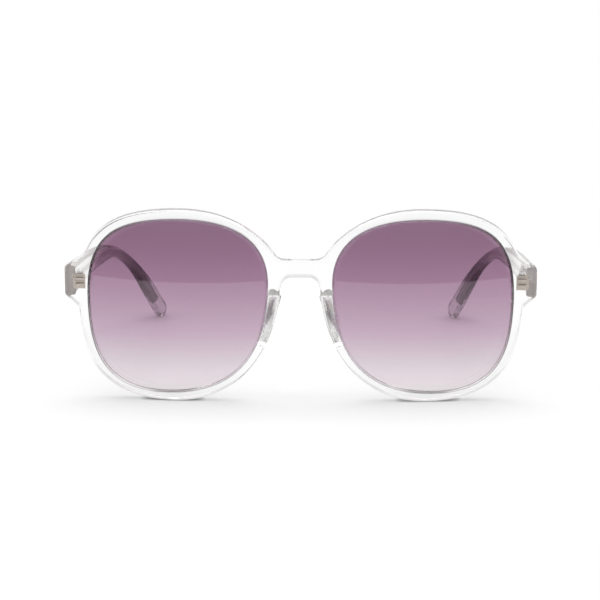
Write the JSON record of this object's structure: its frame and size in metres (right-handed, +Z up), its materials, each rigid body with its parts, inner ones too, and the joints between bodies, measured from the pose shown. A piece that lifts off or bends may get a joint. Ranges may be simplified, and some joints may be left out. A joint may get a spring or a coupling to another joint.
{
  "type": "oversized round sunglasses",
  "caption": "Oversized round sunglasses: clear plastic front with grooved-in plum gradient lenses, glued nose pads, and clear wire-cored temples that fold on barrel hinges.",
  "frame": {"origin": "on the table under the middle of the bounding box of the open sunglasses", "axes": "+X to the wearer's left, +Y from the lenses back towards the ears, +Z up"},
  "size_m": [0.148, 0.1268, 0.0609],
  "materials": {
    "clear_acetate": "polished clear sheet plastic",
    "tinted_lens": "polished, plum at the top fading to nearly clear at the bottom",
    "core_wire": "plain drawn wire",
    "hinge_metal": "satin champagne plating",
    "screw_metal": "bright turned"
  },
  "bodies": {
    "front": {"front_frame": "clear_acetate", "lens_left": "tinted_lens", "lens_right": "tinted_lens", "nose_pad_left": "clear_acetate", "nose_pad_right": "clear_acetate", "front_hinge_left": "hinge_metal", "front_hinge_right": "hinge_metal", "hinge_screw_left": "screw_metal", "hinge_screw_right": "screw_metal"},
    "temple_left": {"temple_left": "clear_acetate", "core_wire_left": "core_wire", "temple_hinge_left": "hinge_metal"},
    "temple_right": {"temple_right": "clear_acetate", "core_wire_right": "core_wire", "temple_hinge_right": "hinge_metal"}
  },
  "joints": [
    {"name": "temple_left_fold", "type": "hinge", "parent": "front", "child": "temple_left", "pos_m": [0.0693, -0.05125, 0.0372], "axis": [0, 0, 1], "range_deg": [0, 82]},
    {"name": "temple_right_fold", "type": "hinge", "parent": "front", "child": "temple_right", "pos_m": [-0.0693, -0.05125, 0.0372], "axis": [0, 0, -1], "range_deg": [0, 78]}
  ]
}
